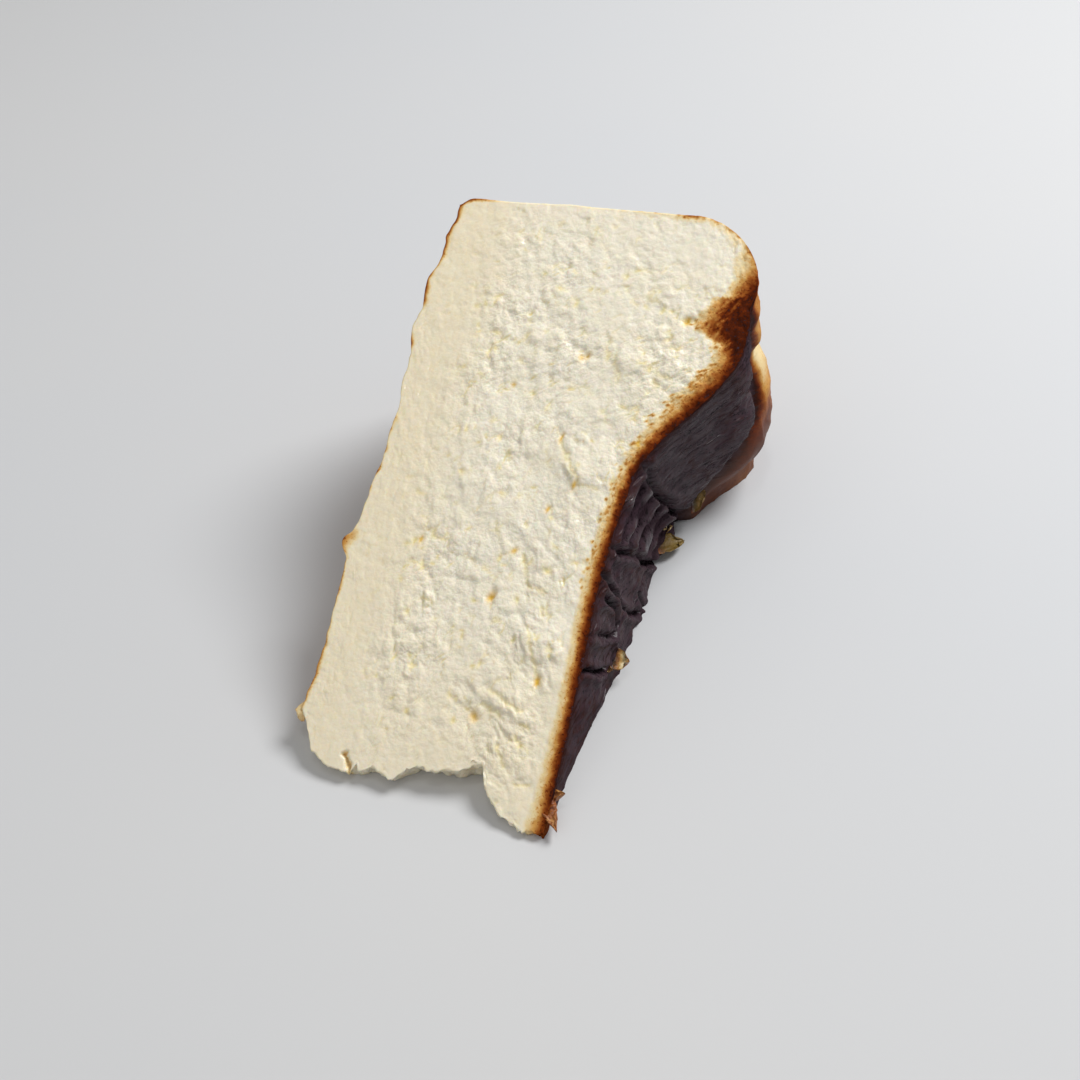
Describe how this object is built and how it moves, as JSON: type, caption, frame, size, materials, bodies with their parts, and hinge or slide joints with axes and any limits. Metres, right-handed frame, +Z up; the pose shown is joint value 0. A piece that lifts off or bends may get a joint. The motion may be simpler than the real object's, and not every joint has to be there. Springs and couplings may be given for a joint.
{
  "type": "basque cheesecake slice",
  "caption": "Wedge of burnt Basque cheesecake lying on its cut side: pale torn crumb, dark wrinkled top, folded amber rim and a broken tip.",
  "frame": {"origin": "middle of the bounding box, on the surface that the slice lies on", "axes": "+X up the cake, from its base to its burnt top; +Y from the tip out to the rim; +Z up, away from the cut face that it lies on"},
  "size_m": [0.0636, 0.114, 0.058],
  "materials": {
    "cheesecake": "moist, pale crumb with a burnt top skin"
  },
  "bodies": {
    "root": {"cheesecake_slice": "cheesecake"}
  },
  "joints": []
}
